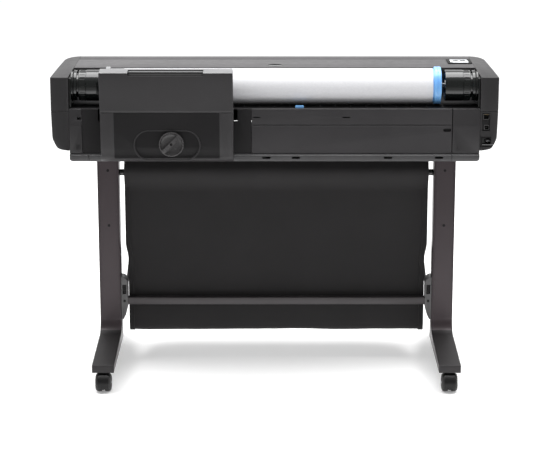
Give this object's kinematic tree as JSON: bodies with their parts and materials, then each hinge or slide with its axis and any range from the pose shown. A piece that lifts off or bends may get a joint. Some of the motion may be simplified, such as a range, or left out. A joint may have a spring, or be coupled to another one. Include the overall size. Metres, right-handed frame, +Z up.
{
  "type": "large format plotter",
  "caption": "Roll-fed large format plotter on a wheeled stand, with a sheet feeder and a fabric paper bin",
  "frame": {"origin": "centre of the footprint, on the floor", "axes": "+X along the width (to the right when the paper loading side is looked at), +Y from the paper loading side to the paper output side, +Z up"},
  "size_m": [1.317, 0.6342, 0.932],
  "materials": {
    "casing": "fine moulded texture, satin dark grey",
    "top_casing": "fine moulded texture, satin grey",
    "dark_plastic": "matt black",
    "gloss_black": "polished black",
    "steel": "plain sheet steel",
    "roller_metal": "ground aluminium",
    "leg_paint": "satin brown-grey powder coat",
    "screen": "smooth touch screen",
    "hub_blue": "bright blue, satin",
    "hub_pale": "pale grey, satin",
    "paper": "uncoated white bond",
    "circuit_board": "green solder mask",
    "socket_metal": "plated socket shells",
    "ink_cartridge": "moulded cartridge shell",
    "roller_rubber": "matt rubber",
    "caster_tyre": "hard dark tread",
    "bin_cloth": "black woven nylon"
  },
  "bodies": {
    "root": {"lower_casing": "casing", "rear_panel": "casing", "rear_panel_left": "casing", "rear_panel_right": "casing", "side_cover_left": "casing", "side_cover_right": "casing", "front_panel": "casing", "feeder_housing": "casing", "bar_bracket_left": "casing", "bar_bracket_right": "casing", "end_cover_left": "top_casing", "end_cover_right": "top_casing", "top_panel": "top_casing", "roll_bay": "dark_plastic", "power_inlet": "dark_plastic", "platen": "dark_plastic", "service_station": "dark_plastic", "bin_rod": "dark_plastic", "control_panel": "gloss_black", "side_frame_left": "steel", "side_frame_right": "steel", "carriage_rail": "steel", "power_supply": "steel", "leg_left": "leg_paint", "leg_right": "leg_paint", "crossbar": "leg_paint", "display": "screen", "main_board": "circuit_board", "data_sockets": "socket_metal", "ink_cartridge_1": "ink_cartridge", "ink_cartridge_2": "ink_cartridge", "ink_cartridge_3": "ink_cartridge", "ink_cartridge_4": "ink_cartridge", "bin_fabric": "bin_cloth"},
    "spindle": {"spindle_shaft": "roller_metal", "spindle_end_left": "gloss_black", "spindle_end_right": "gloss_black", "hub_left": "hub_pale", "hub_right": "hub_blue", "paper_roll": "paper"},
    "feed_roller": {"feed_roller": "roller_metal"},
    "pinch_roller": {"pinch_roller": "dark_plastic"},
    "carriage": {"print_carriage": "dark_plastic"},
    "front_cover": {"front_cover": "top_casing"},
    "ink_door": {"ink_door": "casing"},
    "feeder_cover": {"feeder_cover": "casing"},
    "tray_extension": {"tray_extension": "dark_plastic"},
    "pick_roller": {"pick_roller": "roller_rubber"},
    "feeder_knob": {"feeder_knob": "dark_plastic"},
    "power_button": {"power_button": "dark_plastic"},
    "power_switch": {"power_switch": "gloss_black"},
    "bin_frame": {"bin_frame": "dark_plastic"},
    "caster_rear_left": {"caster_fork_rear_left": "dark_plastic"},
    "wheels_rear_left": {"caster_wheels_rear_left": "caster_tyre"},
    "caster_rear_right": {"caster_fork_rear_right": "dark_plastic"},
    "wheels_rear_right": {"caster_wheels_rear_right": "caster_tyre"},
    "caster_front_left": {"caster_fork_front_left": "dark_plastic"},
    "wheels_front_left": {"caster_wheels_front_left": "caster_tyre"},
    "caster_front_right": {"caster_fork_front_right": "dark_plastic"},
    "wheels_front_right": {"caster_wheels_front_right": "caster_tyre"}
  },
  "joints": [
    {"name": "spindle_turn", "type": "hinge", "parent": "root", "child": "spindle", "pos_m": [0, -0.018, 0.8627], "axis": [1, 0, 0], "continuous": true},
    {"name": "feed_roller_turn", "type": "hinge", "parent": "root", "child": "feed_roller", "pos_m": [0, 0.147, 0.775], "axis": [1, 0, 0], "continuous": true},
    {"name": "pinch_roller_turn", "type": "hinge", "parent": "root", "child": "pinch_roller", "pos_m": [0, 0.147, 0.796], "axis": [1, 0, 0], "continuous": true},
    {"name": "carriage_travel", "type": "slide", "parent": "root", "child": "carriage", "axis": [1, 0, 0], "range_m": [-0.53, 0.53]},
    {"name": "front_cover_lift", "type": "hinge", "parent": "root", "child": "front_cover", "pos_m": [0, 0.2495, 0.898], "axis": [1, 0, 0], "range_deg": [0, 75]},
    {"name": "ink_door_drop", "type": "hinge", "parent": "root", "child": "ink_door", "pos_m": [-0.51, 0.312, 0.694], "axis": [-1, 0, 0], "range_deg": [0, 85]},
    {"name": "feeder_cover_open", "type": "hinge", "parent": "root", "child": "feeder_cover", "pos_m": [-0.314, -0.168, 0.808], "axis": [1, 0, 0], "range_deg": [0, 60]},
    {"name": "tray_extension_slide", "type": "slide", "parent": "feeder_cover", "child": "tray_extension", "axis": [0, -0.1758, 0.9844], "range_m": [0, 0.085]},
    {"name": "pick_roller_turn", "type": "hinge", "parent": "root", "child": "pick_roller", "pos_m": [-0.314, -0.128, 0.735], "axis": [1, 0, 0], "continuous": true},
    {"name": "feeder_knob_turn", "type": "hinge", "parent": "root", "child": "feeder_knob", "pos_m": [-0.301, -0.157, 0.714], "axis": [0, 1, 0], "range_deg": [0, 90]},
    {"name": "power_button_press", "type": "slide", "parent": "root", "child": "power_button", "axis": [0, 0, -1], "range_m": [0, 0.001], "stiffness_N_per_m": 400, "springref_m": -0.0005},
    {"name": "power_switch_rock", "type": "hinge", "parent": "root", "child": "power_switch", "pos_m": [0.616, -0.082, 0.7095], "axis": [1, 0, 0], "range_deg": [-12, 12]},
    {"name": "bin_frame_fold", "type": "hinge", "parent": "root", "child": "bin_frame", "pos_m": [0.0054, 0.058, 0.226], "axis": [1, 0, 0], "range_deg": [0, 60]},
    {"name": "caster_swivel_rear_left", "type": "hinge", "parent": "root", "child": "caster_rear_left", "pos_m": [-0.5021, -0.271, 0.058], "axis": [0, 0, 1], "continuous": true},
    {"name": "wheels_roll_rear_left", "type": "hinge", "parent": "caster_rear_left", "child": "wheels_rear_left", "pos_m": [-0.5021, -0.287, 0.027], "axis": [1, 0, 0], "continuous": true},
    {"name": "caster_swivel_rear_right", "type": "hinge", "parent": "root", "child": "caster_rear_right", "pos_m": [0.5129, -0.271, 0.058], "axis": [0, 0, 1], "continuous": true},
    {"name": "wheels_roll_rear_right", "type": "hinge", "parent": "caster_rear_right", "child": "wheels_rear_right", "pos_m": [0.5129, -0.287, 0.027], "axis": [1, 0, 0], "continuous": true},
    {"name": "caster_swivel_front_left", "type": "hinge", "parent": "root", "child": "caster_front_left", "pos_m": [-0.5126, 0.242, 0.058], "axis": [0, 0, 1], "continuous": true},
    {"name": "wheels_roll_front_left", "type": "hinge", "parent": "caster_front_left", "child": "wheels_front_left", "pos_m": [-0.5126, 0.258, 0.027], "axis": [1, 0, 0], "continuous": true},
    {"name": "caster_swivel_front_right", "type": "hinge", "parent": "root", "child": "caster_front_right", "pos_m": [0.5234, 0.242, 0.058], "axis": [0, 0, 1], "continuous": true},
    {"name": "wheels_roll_front_right", "type": "hinge", "parent": "caster_front_right", "child": "wheels_front_right", "pos_m": [0.5234, 0.258, 0.027], "axis": [1, 0, 0], "continuous": true}
  ],
  "couplings": [
    {"joint": "pinch_roller_turn", "follows": "feed_roller_turn", "ratio": -2.3333}
  ]
}
